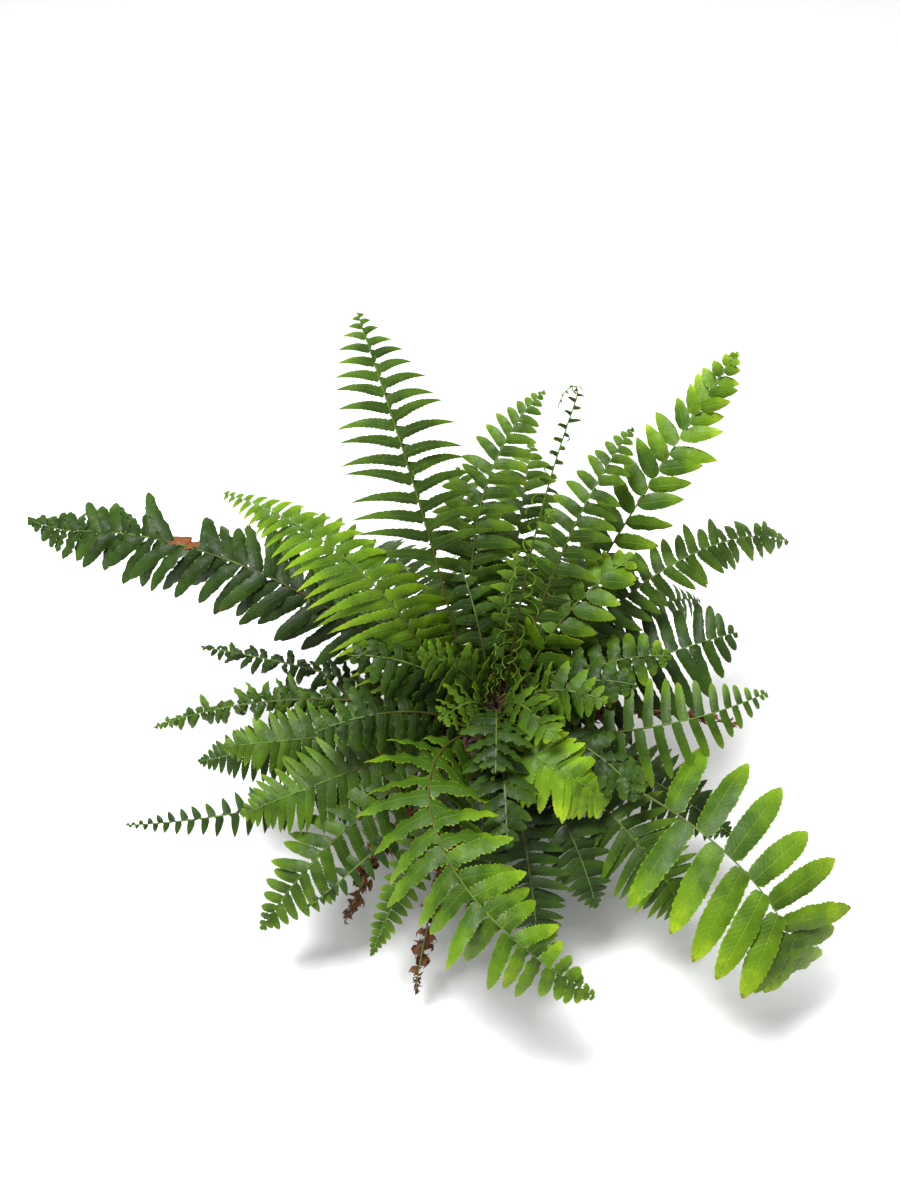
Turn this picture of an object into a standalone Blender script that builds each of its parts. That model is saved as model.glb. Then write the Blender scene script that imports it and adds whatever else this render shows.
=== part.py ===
"""Potted sword fern: a nursery pot, its potting mix, the crown of the plant and each frond.

Metres, +Z up. The origin is the middle of the pot's foot, and the fronds reach out all round it.
"""
from math import cos, pi, radians, sin
from typing import NamedTuple

import bmesh
import bpy
from mathutils import Vector
from mathutils.bvhtree import BVHTree

MM = 0.001
GAP = 0.3 * MM                      # left between pieces that touch

# --- driving dimensions: the pot
POT_HEIGHT = 118 * MM
POT_FOOT_RADIUS = 46 * MM
POT_RIM_RADIUS = 65 * MM
POT_WALL = 1.4 * MM
RIM_BAND = 12 * MM                  # height of the thicker band at the top
RIM_STEP = 1.6 * MM                 # how far the band stands out from the wall
FOOT_RING_WIDTH = 6 * MM
FOOT_RECESS = 3 * MM                # height of the drained floor above the ground
CENTRE_PAD_RADIUS = 16 * MM         # the middle of the floor comes down to the ground again
DRAIN_HOLES = 8
DRAIN_RADIUS = 4 * MM
DRAIN_CIRCLE = 28 * MM
DRAIN_SIDES = 16

# --- driving dimensions: the mix and the crown
SOIL_BELOW_RIM = 3 * MM
SOIL_DOME = 7 * MM
CROWN_RADIUS = 46 * MM
CROWN_DOME = 8 * MM
CROWN_EDGE = 1 * MM
TURN_STEPS = 48                     # facets round each turned piece
MERGE = 0.00001

# --- driving dimensions: the fronds
STEM_WIDTH = 3.0 * MM
STEM_TIP_WIDTH = 1.2 * MM
STEM_THICKNESS = 1.0 * MM
PINNA_TIP_SHARE = 0.4               # thickness at a pinna's tip, as a share of the stem's
PINNA_PITCH = 16 * MM               # one modelled pinna stands for about a pair and a half
PINNA_LEAN = 0.22                   # how far a pinna leans to the tip, as a share of its length
PINNA_DROOP = 12                    # degrees below the blade's plane
BARE_ROWS = 3                       # rows of the strip along the bare foot of the stem
BARE_SHARE = 0.2                    # share of the length with no pinnae
FOOT_CLEARANCE = 1.4 * MM           # between the crown and the middle of a stem's foot
SPINE_STEPS = 48
CURL_SHARE = 0.12                   # the last stretch, which curls on a young or a dry tip
LIGHT = Vector((0.0, -0.69, 0.72))  # the side that the blades turn to
LIGHT_PULL = 3.0
TURNED_BY = 0.2                     # share of the stem over which a blade turns


class Frond(NamedTuple):
    """One frond. It leaves the crown `seat` from its middle, in the direction it heads."""
    name: str
    tone: str
    heading: float                  # degrees, 0 is +X and 90 is +Y
    turn: float                     # degrees the heading swings, foot to tip
    rise: float                     # degrees above level at the foot
    fall: float                     # degrees above level at the tip
    bend: float                     # 1 bends evenly along the stem, more bends late
    length: float                   # millimetres along the stem
    reach: float                    # millimetres from stem to the longest pinna's tip
    seat: float                     # millimetres
    curl: float = 0                 # degrees the last stretch curls, up or (minus) down


FRONDS = (
    # upright at the back
    Frond("frond_back_tall", "mid", 140, -19, 76, 52, 1.5, 305, 52, 24),
    Frond("frond_back_dark", "mid", 120, -85, 80, 28, 1.5, 245, 36, 28),
    Frond("frond_crozier", "mid", 50, 0, 85, 58, 1.5, 290, 24, 12, 200),
    Frond("frond_back_narrow", "mid", 50, 0, 75, 26, 1.5, 225, 34, 24),
    Frond("frond_back_inner", "mid", 104, 0, 70, 30, 1.4, 175, 44, 18),
    Frond("frond_back_broad", "mid", 80, 0, 66, 15, 1.4, 190, 44, 32),
    Frond("frond_back_shaded", "mid", 148, 0, 55, 0, 1.3, 215, 44, 36),
    # right
    Frond("frond_right_tall", "bright", 42, 0, 54, 42, 1.0, 294, 38, 32),
    Frond("frond_right_cupped", "bright", 32, 0, 70, 10, 1.4, 150, 32, 16),
    Frond("frond_right_bowed", "mid", 30, 0, 58, -42, 1.2, 275, 30, 36),
    Frond("frond_right_dark", "dark", 15, 0, 25, 5, 1.0, 156, 50, 38),
    Frond("frond_right_comb", "mid", 326, 62, 34, 2, 1.0, 180, 50, 34),
    Frond("frond_right_withered", "dry", 2, 0, 12, -25, 1.0, 150, 12, 40),
    Frond("frond_right_twisted", "dry", 346, 0, 0, -45, 1.0, 140, 12, 42),
    Frond("frond_right_lower", "dark", 336, 0, 4, -35, 1.0, 155, 34, 42),
    Frond("frond_right_fan", "bright", 320, -6, 15, -84, 2.6, 270, 68, 38),
    Frond("frond_right_low", "mid", 314, 2, 4, -50, 1.2, 170, 46, 40),
    # front
    Frond("frond_front_lime", "lime", 270, 96, 55, -50, 1.0, 132, 34, 16),
    Frond("frond_front_right", "dark", 298, 0, 10, -60, 1.0, 130, 34, 38),
    Frond("frond_front_dark", "dark", 280, 0, 8, -65, 1.0, 150, 34, 40),
    Frond("frond_front_short", "dark", 263, 0, 8, -60, 1.0, 120, 26, 38),
    Frond("frond_front_bright", "bright", 226, 136, 38, -50, 1.0, 290, 54, 28),
    Frond("frond_front_dead", "dry", 230, 0, 2, -60, 1.0, 160, 22, 38),
    Frond("frond_front_crumpled", "dry", 251, 0, 0, -72, 1.0, 185, 22, 41),
    Frond("frond_front_left", "mid", 243, -6, 0, -50, 1.0, 160, 20, 43),
    # left
    Frond("frond_left_arching", "lime", 174, -14, 72, 0, 2.0, 260, 66, 30),
    Frond("frond_left_long", "dark", 160, 0, 50, -28, 1.0, 375, 44, 39, 40),
    Frond("frond_left_curly", "dark", 168, 0, 16, 0, 1.0, 190, 24, 40),
    Frond("frond_left_dusky", "dark", 175, 0, 10, -5, 1.0, 150, 26, 41),
    Frond("frond_left_ragged", "mid", 181, 0, 24, -28, 1.0, 230, 24, 34),
    Frond("frond_left_comb", "mid", 195, -5, 12, 3, 1.0, 165, 36, 38),
    Frond("frond_left_under", "dark", 188, 0, 2, -10, 1.0, 180, 34, 43),
    Frond("frond_left_thin", "dark", 213, -33, 0, -4, 1.0, 240, 24, 43),
    Frond("frond_left_layered", "mid", 213, -14, 14, -12, 1.0, 172, 40, 32),
    Frond("frond_left_hanging", "mid", 223, -6, 10, -52, 1.2, 200, 36, 40),
    Frond("frond_left_small", "dark", 235, -22, -6, -20, 1.0, 160, 22, 43),
    # short and young, over the middle
    Frond("frond_centre_curly", "mid", 12, 0, 72, -40, 1.0, 100, 16, 10),
    Frond("frond_centre_left", "mid", 235, 0, 80, 10, 1.0, 90, 24, 10),
    Frond("frond_centre_right", "mid", 300, 0, 80, -10, 1.0, 95, 28, 6),
    Frond("fiddlehead", "mid", 100, 0, 88, 80, 1.0, 70, 8, 4, 220),
    Frond("frond_centre_north", "dark", 116, 0, 82, 40, 1.2, 115, 24, 10),
    Frond("frond_centre_rear", "mid", 76, 0, 84, 45, 1.2, 120, 22, 13),
    Frond("frond_centre_west", "dark", 188, 0, 74, 5, 1.2, 125, 30, 19),
    Frond("frond_centre_low_left", "dark", 205, 0, 55, -5, 1.0, 130, 30, 27),
    Frond("frond_centre_front", "dark", 268, 0, 78, -20, 1.0, 105, 30, 9),
    Frond("frond_centre_south", "dark", 272, 0, 60, -40, 1.0, 120, 30, 26),
    Frond("frond_centre_east", "dark", 350, 0, 74, -10, 1.0, 105, 26, 18),
    Frond("frond_centre_low_right", "dark", 318, 0, 55, -35, 1.0, 115, 26, 29),
    Frond("frond_centre_side", "mid", 8, 0, 62, -15, 1.0, 120, 28, 27),
    Frond("frond_centre_dark", "dark", 156, 0, 60, 0, 1.2, 130, 28, 29),
    Frond("frond_centre_mid", "mid", 330, 0, 80, 0, 1.0, 105, 28, 11),
    Frond("frond_centre_arched", "mid", 196, 0, 87, 30, 1.0, 100, 26, 8),
    # low at the back
    Frond("frond_rear_right", "mid", 40, 0, 25, -40, 1.0, 200, 30, 42),
    Frond("frond_rear_short", "dark", 65, 0, 30, -50, 1.0, 210, 32, 41),
    Frond("frond_rear_middle", "mid", 92, 0, 25, -50, 1.0, 220, 34, 41),
    Frond("frond_rear_wide", "dark", 116, 0, 30, -50, 1.0, 220, 34, 41),
    Frond("frond_rear_left", "mid", 137, 0, 22, -40, 1.0, 210, 30, 41),
)

TONES = {                           # linear base colour of each kind of leaf
    "lime": (0.33, 0.60, 0.03),
    "bright": (0.13, 0.36, 0.02),
    "mid": (0.06, 0.20, 0.02),
    "dark": (0.02, 0.08, 0.015),
    "dry": (0.16, 0.08, 0.03),
}


def finish(name, colour, roughness):
    """One plain surface finish."""
    material = bpy.data.materials.new(name)
    material.use_nodes = True
    shader = material.node_tree.nodes["Principled BSDF"]
    shader.inputs["Base Color"].default_value = (*colour, 1.0)
    shader.inputs["Roughness"].default_value = roughness
    shader.inputs["Metallic"].default_value = 0.0
    return material


def new_object(name, mesh, collection, colour, roughness):
    """An object in a collection, with its own finish."""
    piece = bpy.data.objects.new(name, mesh)
    collection.objects.link(piece)
    mesh.materials.append(finish(name, colour, roughness))
    return piece


def turned(name, profile, collection, colour, roughness):
    """A profile of (radius, height) points, turned about the vertical axis.

    It starts and ends on the axis, and runs down its outer side.
    """
    mesh = bpy.data.meshes.new(name)
    points = [(radius, 0.0, height) for radius, height in profile]
    mesh.from_pydata(points, [(i, i + 1) for i in range(len(points) - 1)], [])
    piece = new_object(name, mesh, collection, colour, roughness)
    screw = piece.modifiers.new("turn", "SCREW")
    screw.axis = "Z"
    screw.angle = 2 * pi
    screw.steps = TURN_STEPS
    screw.render_steps = TURN_STEPS
    screw.use_merge_vertices = True
    screw.merge_threshold = MERGE
    screw.use_smooth_shade = False
    return piece


# ------------------------------------------------------------------------------------ pot, mix, crown

def wall_radius(height):
    """Outer radius of the pot's tapered wall."""
    taper = (POT_RIM_RADIUS - RIM_STEP - POT_FOOT_RADIUS) / POT_HEIGHT
    return POT_FOOT_RADIUS + taper * height


def inner_radius(height):
    """Inside radius of the pot, which opens a little more in the rim band."""
    band_foot = POT_HEIGHT - RIM_BAND
    in_band = max(0.0, (height - band_foot) / RIM_BAND)
    low = wall_radius(min(height, band_foot))
    return low + (POT_RIM_RADIUS - low) * in_band - POT_WALL


def soil_top(radius):
    """Height of the mix, a low dome."""
    edge = POT_HEIGHT - SOIL_BELOW_RIM
    return edge + SOIL_DOME * (1 - (radius / inner_radius(edge)) ** 2)


def crown_top(radius):
    """Height of the crown, a mound on the mix."""
    return soil_top(radius) + GAP + CROWN_EDGE + CROWN_DOME * (1 - (radius / CROWN_RADIUS) ** 2)


def drill(number, collection):
    """The cutter of one drain hole, a short upright rod through the floor."""
    bm = bmesh.new()
    bmesh.ops.create_cone(bm, cap_ends=True, segments=DRAIN_SIDES, radius1=DRAIN_RADIUS,
                          radius2=DRAIN_RADIUS, depth=4 * (FOOT_RECESS + POT_WALL))
    mesh = bpy.data.meshes.new(f"drain_drill_{number}")
    bm.to_mesh(mesh)
    bm.free()
    rod = bpy.data.objects.new(mesh.name, mesh)
    angle = 2 * pi * number / DRAIN_HOLES
    rod.location = (DRAIN_CIRCLE * cos(angle), DRAIN_CIRCLE * sin(angle), 0)
    rod.hide_render = True
    rod.display_type = "WIRE"
    collection.objects.link(rod)
    return rod


def make_pot(collection, cutters):
    """A thin tapered pot: rim band, foot ring, and a raised floor with drain holes."""
    band_foot = POT_HEIGHT - RIM_BAND
    floor = FOOT_RECESS + POT_WALL
    ring_inner = POT_FOOT_RADIUS - FOOT_RING_WIDTH
    profile = (
        (0, floor),
        (inner_radius(floor), floor),
        (inner_radius(band_foot), band_foot),
        (inner_radius(POT_HEIGHT), POT_HEIGHT),
        (POT_RIM_RADIUS, POT_HEIGHT),
        (wall_radius(band_foot) + RIM_STEP, band_foot),
        (wall_radius(band_foot - RIM_STEP), band_foot - RIM_STEP),
        (POT_FOOT_RADIUS, 0),
        (ring_inner, 0),
        (ring_inner - FOOT_RECESS, FOOT_RECESS),
        (CENTRE_PAD_RADIUS + FOOT_RECESS, FOOT_RECESS),
        (CENTRE_PAD_RADIUS, 0),
        (0, 0),
    )
    pot = turned("nursery_pot", profile, collection, (0.012, 0.012, 0.014), 0.45)
    for number in range(DRAIN_HOLES):
        cut = pot.modifiers.new(f"drain_{number}", "BOOLEAN")
        cut.operation = "DIFFERENCE"
        cut.solver = "EXACT"
        cut.object = drill(number, cutters)
    return pot


def make_soil(collection):
    """The potting mix: it fills the pot and stands a little proud in the middle."""
    floor = FOOT_RECESS + POT_WALL + GAP
    band_foot = POT_HEIGHT - RIM_BAND
    edge_height = POT_HEIGHT - SOIL_BELOW_RIM
    edge = inner_radius(edge_height) - GAP
    profile = [(edge * share, soil_top(edge * share)) for share in (0, 0.3, 0.6, 0.8, 1.0)]
    profile.append((inner_radius(band_foot) - GAP, band_foot))
    profile.append((inner_radius(floor) - GAP, floor))
    profile.append((0, floor))
    return turned("potting_mix", profile, collection, (0.03, 0.018, 0.01), 0.95)


def make_crown(collection):
    """The crown: the short upright rootstock that every frond grows from."""
    radii = [CROWN_RADIUS * share for share in (0, 0.3, 0.6, 0.8, 1.0)]
    top = [(radius, crown_top(radius)) for radius in radii]
    under = [(radius, soil_top(radius) + GAP) for radius in reversed(radii)]
    return turned("rhizome_crown", top + under, collection, (0.05, 0.03, 0.012), 0.85)


# --------------------------------------------------------------------------------------------- fronds

def blade_side(along, level, share):
    """The blade's side direction. Past the foot, its upper face turns to the light."""
    up = along.cross(level)
    lit = LIGHT - along * LIGHT.dot(along)
    up = up + lit * (LIGHT_PULL * min(1.0, share / TURNED_BY))
    return up.normalized().cross(along)


def spine(frond):
    """Points and directions along the stem: (point, along, side, up) at even steps."""
    swing = radians(frond.heading)
    seat = frond.seat * MM
    point = Vector((seat * cos(swing), seat * sin(swing), crown_top(seat) + FOOT_CLEARANCE))
    stations = []
    for step in range(SPINE_STEPS + 1):
        share = step / SPINE_STEPS
        late = max(0.0, (share - 1 + CURL_SHARE) / CURL_SHARE)
        pitch = radians(frond.rise + (frond.fall - frond.rise) * share ** frond.bend + frond.curl * late)
        swing = radians(frond.heading + frond.turn * share)
        along = Vector((cos(pitch) * cos(swing), cos(pitch) * sin(swing), sin(pitch)))
        side = blade_side(along, Vector((-sin(swing), cos(swing), 0)), share)
        if step:
            point = point + along * (frond.length * MM / SPINE_STEPS)
        stations.append((point, along, side, along.cross(side)))
    return stations


def at(stations, share):
    """The spine's point and directions at a share of its length."""
    place = min(max(share, 0.0), 1.0) * SPINE_STEPS
    low = min(int(place), SPINE_STEPS - 1)
    part = place - low
    return [a.lerp(b, part) for a, b in zip(stations[low], stations[low + 1])]


def blade_width(frond, share):
    """Length of a pinna at a share of the bladed stretch: full for long, then down to the tip."""
    swell = min(1.0, 0.6 + 1.6 * share)
    return frond.reach * MM * swell * (1 - share ** 3) ** 0.9


def pinna_rows(frond):
    """Shares of the stem where the strip's rows lie: the bare foot, then one row for each pinna."""
    last = 1 - CURL_SHARE if abs(frond.curl) > 90 else 1.0
    count = max(3, round(frond.length * MM * (last - BARE_SHARE) / PINNA_PITCH))
    bare = [BARE_SHARE * row / BARE_ROWS for row in range(BARE_ROWS)]
    bladed = [BARE_SHARE + (last - BARE_SHARE) * row / count for row in range(count + 1)]
    curled = [last + (1 - last) * row / 5 for row in range(1, 6)] if last < 1 else []
    return bare, bladed, curled


def stem_half(share):
    """Half the stem's width."""
    return (STEM_WIDTH + (STEM_TIP_WIDTH - STEM_WIDTH) * share) / 2


def pinna_tip(frond, stations, share, along_blade, sign, stretch, droop):
    """Where a pinna's tip lies, for its stretch (share of full length) and droop (degrees)."""
    point, along, side, up = at(stations, share)
    width = blade_width(frond, along_blade) * stretch
    out = side * sign * cos(radians(droop)) - up * sin(radians(droop))
    return point + side * sign * stem_half(share) + out * width + along * (PINNA_LEAN * width)


def slab(corners, half):
    """A thin closed prism round a flat outline, to test what it meets."""
    middle = sum(corners, Vector()) / len(corners)
    normal = (corners[1] - corners[0]).cross(corners[2] - corners[0]).normalized()
    wide = [corner + (corner - middle).normalized() * GAP for corner in corners]
    count = len(wide)
    points = [corner + normal * half for corner in wide] + [corner - normal * half for corner in wide]
    faces = [tuple(range(count)), tuple(reversed(range(count, 2 * count)))]
    faces += [(i, i + count, (i + 1) % count + count, (i + 1) % count) for i in range(count)]
    return points, faces


def stem_tree(frond, stations):
    """The stem alone, as a tree to test against."""
    bare, bladed, curled = pinna_rows(frond)
    rows = bare + bladed + curled
    points = []
    faces = []
    for low, high in zip(rows, rows[1:]):
        near = at(stations, low)
        far = at(stations, high)
        corners = [near[0] - near[2] * stem_half(low), near[0] + near[2] * stem_half(low),
                   far[0] + far[2] * stem_half(high), far[0] - far[2] * stem_half(high)]
        more_points, more_faces = slab(corners, STEM_THICKNESS / 2 + GAP)
        faces += [tuple(i + len(points) for i in face) for face in more_faces]
        points += more_points
    return BVHTree.FromPolygons(points, faces)


# A pinna that would meet another frond swings up or down, and if that doesn't clear it, it is shorter.
SWINGS = (0, 14, -14, 28, -28, 42, -42)
STRETCHES = (1.0, 0.8, 0.6, 0.42, 0.25, 0.12)


def clear_pinna(frond, stations, rows, row, sign, obstacles):
    """The longest pinna here that meets nothing, as its tip's place, or None where none fits."""
    low, high = rows[row], rows[row + 1]
    along_blade = (row + 0.5) / (len(rows) - 1)
    near = at(stations, low)
    far = at(stations, high)
    foot = [near[0] + near[2] * sign * stem_half(low), far[0] + far[2] * sign * stem_half(high)]
    for stretch in STRETCHES:
        for swing in SWINGS:
            tip = pinna_tip(frond, stations, (low + high) / 2, along_blade, sign, stretch,
                            PINNA_DROOP + swing)
            if tip.z < 3 * MM:
                continue
            tree = BVHTree.FromPolygons(*slab([foot[0], foot[1], tip], STEM_THICKNESS / 2 + GAP))
            if not any(tree.overlap(other) for other in obstacles):
                return tip
    return None


def make_frond(frond, stations, obstacles, collection):
    """A strip along the stem, each side edge drawn out to a pinna's tip, then given a thickness."""
    bare, bladed, curled = pinna_rows(frond)
    rows = bare + bladed + curled
    bm = bmesh.new()
    bmesh.ops.create_grid(bm, x_segments=1, y_segments=len(rows) - 1, size=0.5)
    thick = bm.verts.layers.deform.verify()
    row_of = {vert: round((vert.co.y + 0.5) * (len(rows) - 1)) for vert in bm.verts}
    side_edges = [edge for edge in bm.edges
                  if edge.is_boundary and row_of[edge.verts[0]] != row_of[edge.verts[1]]]
    side_edges.sort(key=lambda edge: (min(row_of[vert] for vert in edge.verts), edge.verts[0].co.x))
    signs = {edge: 1 if edge.verts[0].co.x < 0 else -1 for edge in side_edges}
    for vert, row in row_of.items():
        point, _, side, _ = at(stations, rows[row])
        sign = 1 if vert.co.x < 0 else -1
        vert.co = point + side * sign * stem_half(rows[row])
        vert[thick][0] = 1.0
    for edge in side_edges:
        row = min(row_of[vert] for vert in edge.verts) - len(bare)
        if row < 0 or row >= len(bladed) - 1:
            continue
        tip = clear_pinna(frond, stations, bladed, row, signs[edge], obstacles)
        if tip is None:
            continue
        drawn = bmesh.ops.extrude_edge_only(bm, edges=[edge])["geom"]
        ends = [item for item in drawn if isinstance(item, bmesh.types.BMVert)]
        bmesh.ops.pointmerge(bm, verts=ends, merge_co=tip)
        ends[0][thick][0] = PINNA_TIP_SHARE
    bmesh.ops.recalc_face_normals(bm, faces=bm.faces)
    mesh = bpy.data.meshes.new(frond.name)
    bm.to_mesh(mesh)
    bm.free()
    piece = new_object(frond.name, mesh, collection, TONES[frond.tone], 0.45)
    piece.vertex_groups.new(name="thickness")
    solid = piece.modifiers.new("thickness", "SOLIDIFY")
    solid.thickness = STEM_THICKNESS
    solid.offset = 0
    solid.vertex_group = "thickness"
    return piece


def solid_tree(piece):
    """A finished piece, as a tree to test against."""
    bpy.context.view_layer.update()
    graph = bpy.context.evaluated_depsgraph_get()
    return BVHTree.FromObject(piece, graph)


def main():
    for leftover in list(bpy.data.objects):
        bpy.data.objects.remove(leftover, do_unlink=True)
    collection = bpy.data.collections.new("potted_fern")
    cutters = bpy.data.collections.new("cutters")
    bpy.context.scene.collection.children.link(collection)
    bpy.context.scene.collection.children.link(cutters)
    holders = [make_pot(collection, cutters), make_soil(collection), make_crown(collection)]
    placed = [solid_tree(piece) for piece in holders]
    spines = [spine(frond) for frond in FRONDS]
    stems = [stem_tree(frond, stations) for frond, stations in zip(FRONDS, spines)]
    for index, (frond, stations) in enumerate(zip(FRONDS, spines)):
        piece = make_frond(frond, stations, placed + stems[:index] + stems[index + 1:], collection)
        placed.append(solid_tree(piece))


main()
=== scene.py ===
# %% [markdown]
# # A potted sword fern
#
# A sword fern is a bunch of fronds that leave one scaly crown, in a nursery pot full of mix.
# The plain model already holds each of those at its real size and place.
# This lesson dresses it: every frond gets its pinnae, the pot its moulded rim and holes,
# the mix its bark, and the crown its scales. All lengths are metres unless a name says MM.

# %% Load the plain model
from math import cos, dist, exp, pi, radians, sin
from random import Random
from typing import NamedTuple

import bmesh
import bpy
from mathutils import Matrix, Vector
from mathutils import noise as field


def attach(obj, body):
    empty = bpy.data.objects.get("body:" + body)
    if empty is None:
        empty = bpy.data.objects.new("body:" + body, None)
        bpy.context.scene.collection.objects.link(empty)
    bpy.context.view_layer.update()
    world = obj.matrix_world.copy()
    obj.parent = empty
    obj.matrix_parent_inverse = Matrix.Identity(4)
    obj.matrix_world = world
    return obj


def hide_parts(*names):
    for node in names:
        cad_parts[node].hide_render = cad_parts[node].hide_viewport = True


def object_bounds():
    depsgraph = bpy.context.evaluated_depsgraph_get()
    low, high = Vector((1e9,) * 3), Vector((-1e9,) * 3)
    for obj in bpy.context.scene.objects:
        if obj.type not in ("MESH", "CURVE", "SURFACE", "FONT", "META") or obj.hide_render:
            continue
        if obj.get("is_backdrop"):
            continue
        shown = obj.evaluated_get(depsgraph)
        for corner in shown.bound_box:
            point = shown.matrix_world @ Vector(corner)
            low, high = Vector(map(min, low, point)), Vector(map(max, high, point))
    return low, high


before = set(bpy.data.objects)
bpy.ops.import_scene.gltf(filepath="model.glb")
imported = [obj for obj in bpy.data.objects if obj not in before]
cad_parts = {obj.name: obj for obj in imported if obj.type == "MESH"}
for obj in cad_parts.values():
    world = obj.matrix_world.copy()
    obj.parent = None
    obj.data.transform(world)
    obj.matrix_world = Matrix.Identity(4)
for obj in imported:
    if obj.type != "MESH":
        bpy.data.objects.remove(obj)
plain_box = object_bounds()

MM = 0.001
print(f"the plain model has {len(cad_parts)} parts")

# %% [markdown]
# ## Where we look from
#
# The plant is seen from the front and well above it, as someone sees a pot on a low table.
# A camera points down its own -Z, so a camera that dips below level is turned about X by
# 90 degrees less the dip.

# %% The camera
CAMERA_PLACE = Vector((-0.0338, -0.6288, 0.9009))
CAMERA_DIP = 46                     # degrees below level
LENS = 40

lens = bpy.data.cameras.new("camera")
lens.lens = LENS
camera = bpy.data.objects.new("camera", lens)
camera.location = CAMERA_PLACE
camera.rotation_euler = (radians(90 - CAMERA_DIP), 0, 0)
bpy.context.scene.collection.objects.link(camera)
bpy.context.scene.camera = camera
print(f"the camera stands {CAMERA_PLACE.length:.2f} m from the pot")

# %% [markdown]
# ## Wires
#
# A node tree with forty Math nodes is hard to read as a list of links. So a socket is wrapped
# in a small class whose plus, minus and times add the node for us. The same sums then read
# like ordinary formulas, both for shapes and for finishes.

# %% Sockets that do sums
def plug(tree, socket, value):
    """Joins a wire to a socket, or sets the socket to a plain value."""
    if isinstance(value, Wire):
        tree.links.new(value.socket, socket)
    else:
        socket.default_value = value


def node(tree, kind, inputs=None, output=0, **settings):
    """A new node with its settings and inputs; gives back a wire from one of its outputs."""
    made = tree.nodes.new(kind)
    for name, value in settings.items():
        setattr(made, name, value)
    for name, value in (inputs or {}).items():
        plug(tree, made.inputs[name], value)
    wire = Wire if made.outputs[output].type != "VECTOR" else Arrow
    return wire(tree, made.outputs[output])


class Wire:
    """A number on its way through a tree."""

    def __init__(self, tree, socket):
        self.tree = tree
        self.socket = socket

    def do(self, operation, *others):
        """A Math node of this number and others."""
        inputs = dict(enumerate((self, *others)))
        return node(self.tree, "ShaderNodeMath", inputs, operation=operation)

    def __add__(self, other):
        return self.do("ADD", other)

    def __sub__(self, other):
        return self.do("SUBTRACT", other)

    def __mul__(self, other):
        return self.do("MULTIPLY", other)

    def __truediv__(self, other):
        return self.do("DIVIDE", other)

    def __pow__(self, other):
        return self.do("POWER", other)

    def above(self, low, high):
        """0 below low, 1 above high, and a smooth step between."""
        inputs = {"Value": self, "From Min": low, "From Max": high}
        return node(self.tree, "ShaderNodeMapRange", inputs, interpolation_type="SMOOTHSTEP")


class Arrow(Wire):
    """A vector on its way through a tree. Times a number, it is scaled."""

    def do(self, operation, *others):
        inputs = dict(enumerate((self, *others)))
        return node(self.tree, "ShaderNodeVectorMath", inputs, operation=operation)

    def __mul__(self, other):
        inputs = {0: self, "Scale": other}
        return node(self.tree, "ShaderNodeVectorMath", inputs, operation="SCALE")

    def parts(self):
        """Its x, y and z."""
        split = self.tree.nodes.new("ShaderNodeSeparateXYZ")
        plug(self.tree, split.inputs[0], self)
        return [Wire(self.tree, socket) for socket in split.outputs]


# %% [markdown]
# ## Trees with named inputs
#
# A Geometry Nodes tree is a recipe. Its sizes come in by name, so one recipe makes every
# frond. A modifier knows its inputs only by their identifiers, so a helper looks those up,
# evaluates the object once and keeps the plain mesh that comes out.

# %% Making, storing and running a recipe
def new_recipe(title, inputs):
    """An empty Geometry Nodes tree, and wires from its named inputs."""
    tree = bpy.data.node_groups.new(title, "GeometryNodeTree")
    for name, kind in inputs:
        tree.interface.new_socket(name, in_out="INPUT", socket_type="NodeSocket" + kind)
    tree.interface.new_socket("Geometry", in_out="OUTPUT", socket_type="NodeSocketGeometry")
    entry = tree.nodes.new("NodeGroupInput")
    wires = {}
    for socket in entry.outputs:
        kind = Arrow if socket.type == "VECTOR" else Wire
        wires[socket.name] = kind(tree, socket)
    return tree, wires


def end_recipe(tree, geometry, material):
    """Realizes any instances, sets the material, and ends the tree."""
    solid = node(tree, "GeometryNodeRealizeInstances", {"Geometry": geometry})
    dressed = node(tree, "GeometryNodeSetMaterial", {"Geometry": solid, "Material": material})
    exit_node = tree.nodes.new("NodeGroupOutput")
    tree.links.new(dressed.socket, exit_node.inputs[0])


def store(tree, geometry, name, value, domain="POINT"):
    """Keeps a value on the geometry under a name."""
    kind = "FLOAT_VECTOR" if isinstance(value, Arrow) else "FLOAT"
    inputs = {"Geometry": geometry, "Name": name, "Value": value}
    return node(tree, "GeometryNodeStoreNamedAttribute", inputs, data_type=kind, domain=domain)


def recall(tree, name, kind="FLOAT"):
    """Reads a value that is kept under a name."""
    return node(tree, "GeometryNodeInputNamedAttribute", {"Name": name}, data_type=kind)


def arrow_of(tree, **parts):
    """A vector made of its X, Y and Z."""
    return node(tree, "ShaderNodeCombineXYZ", parts)


def joined(tree, *geometries):
    """Several geometries as one."""
    made = tree.nodes.new("GeometryNodeJoinGeometry")
    for geometry in geometries:
        tree.links.new(geometry.socket, made.inputs[0])
    return Wire(tree, made.outputs[0])


def picked(tree, points, shapes, **how):
    """An instance of one of a collection's shapes on every point."""
    bits = node(tree, "GeometryNodeCollectionInfo",
                {"Collection": shapes, "Separate Children": True, "Reset Children": True})
    inputs = {"Points": points, "Instance": bits, "Pick Instance": True, **how}
    return node(tree, "GeometryNodeInstanceOnPoints", inputs)


def chance(tree, low, high, seed):
    """A random number for each element."""
    inputs = {2: low, 3: high, "Seed": seed}
    return node(tree, "FunctionNodeRandomValue", inputs, output=1, data_type="FLOAT")


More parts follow.
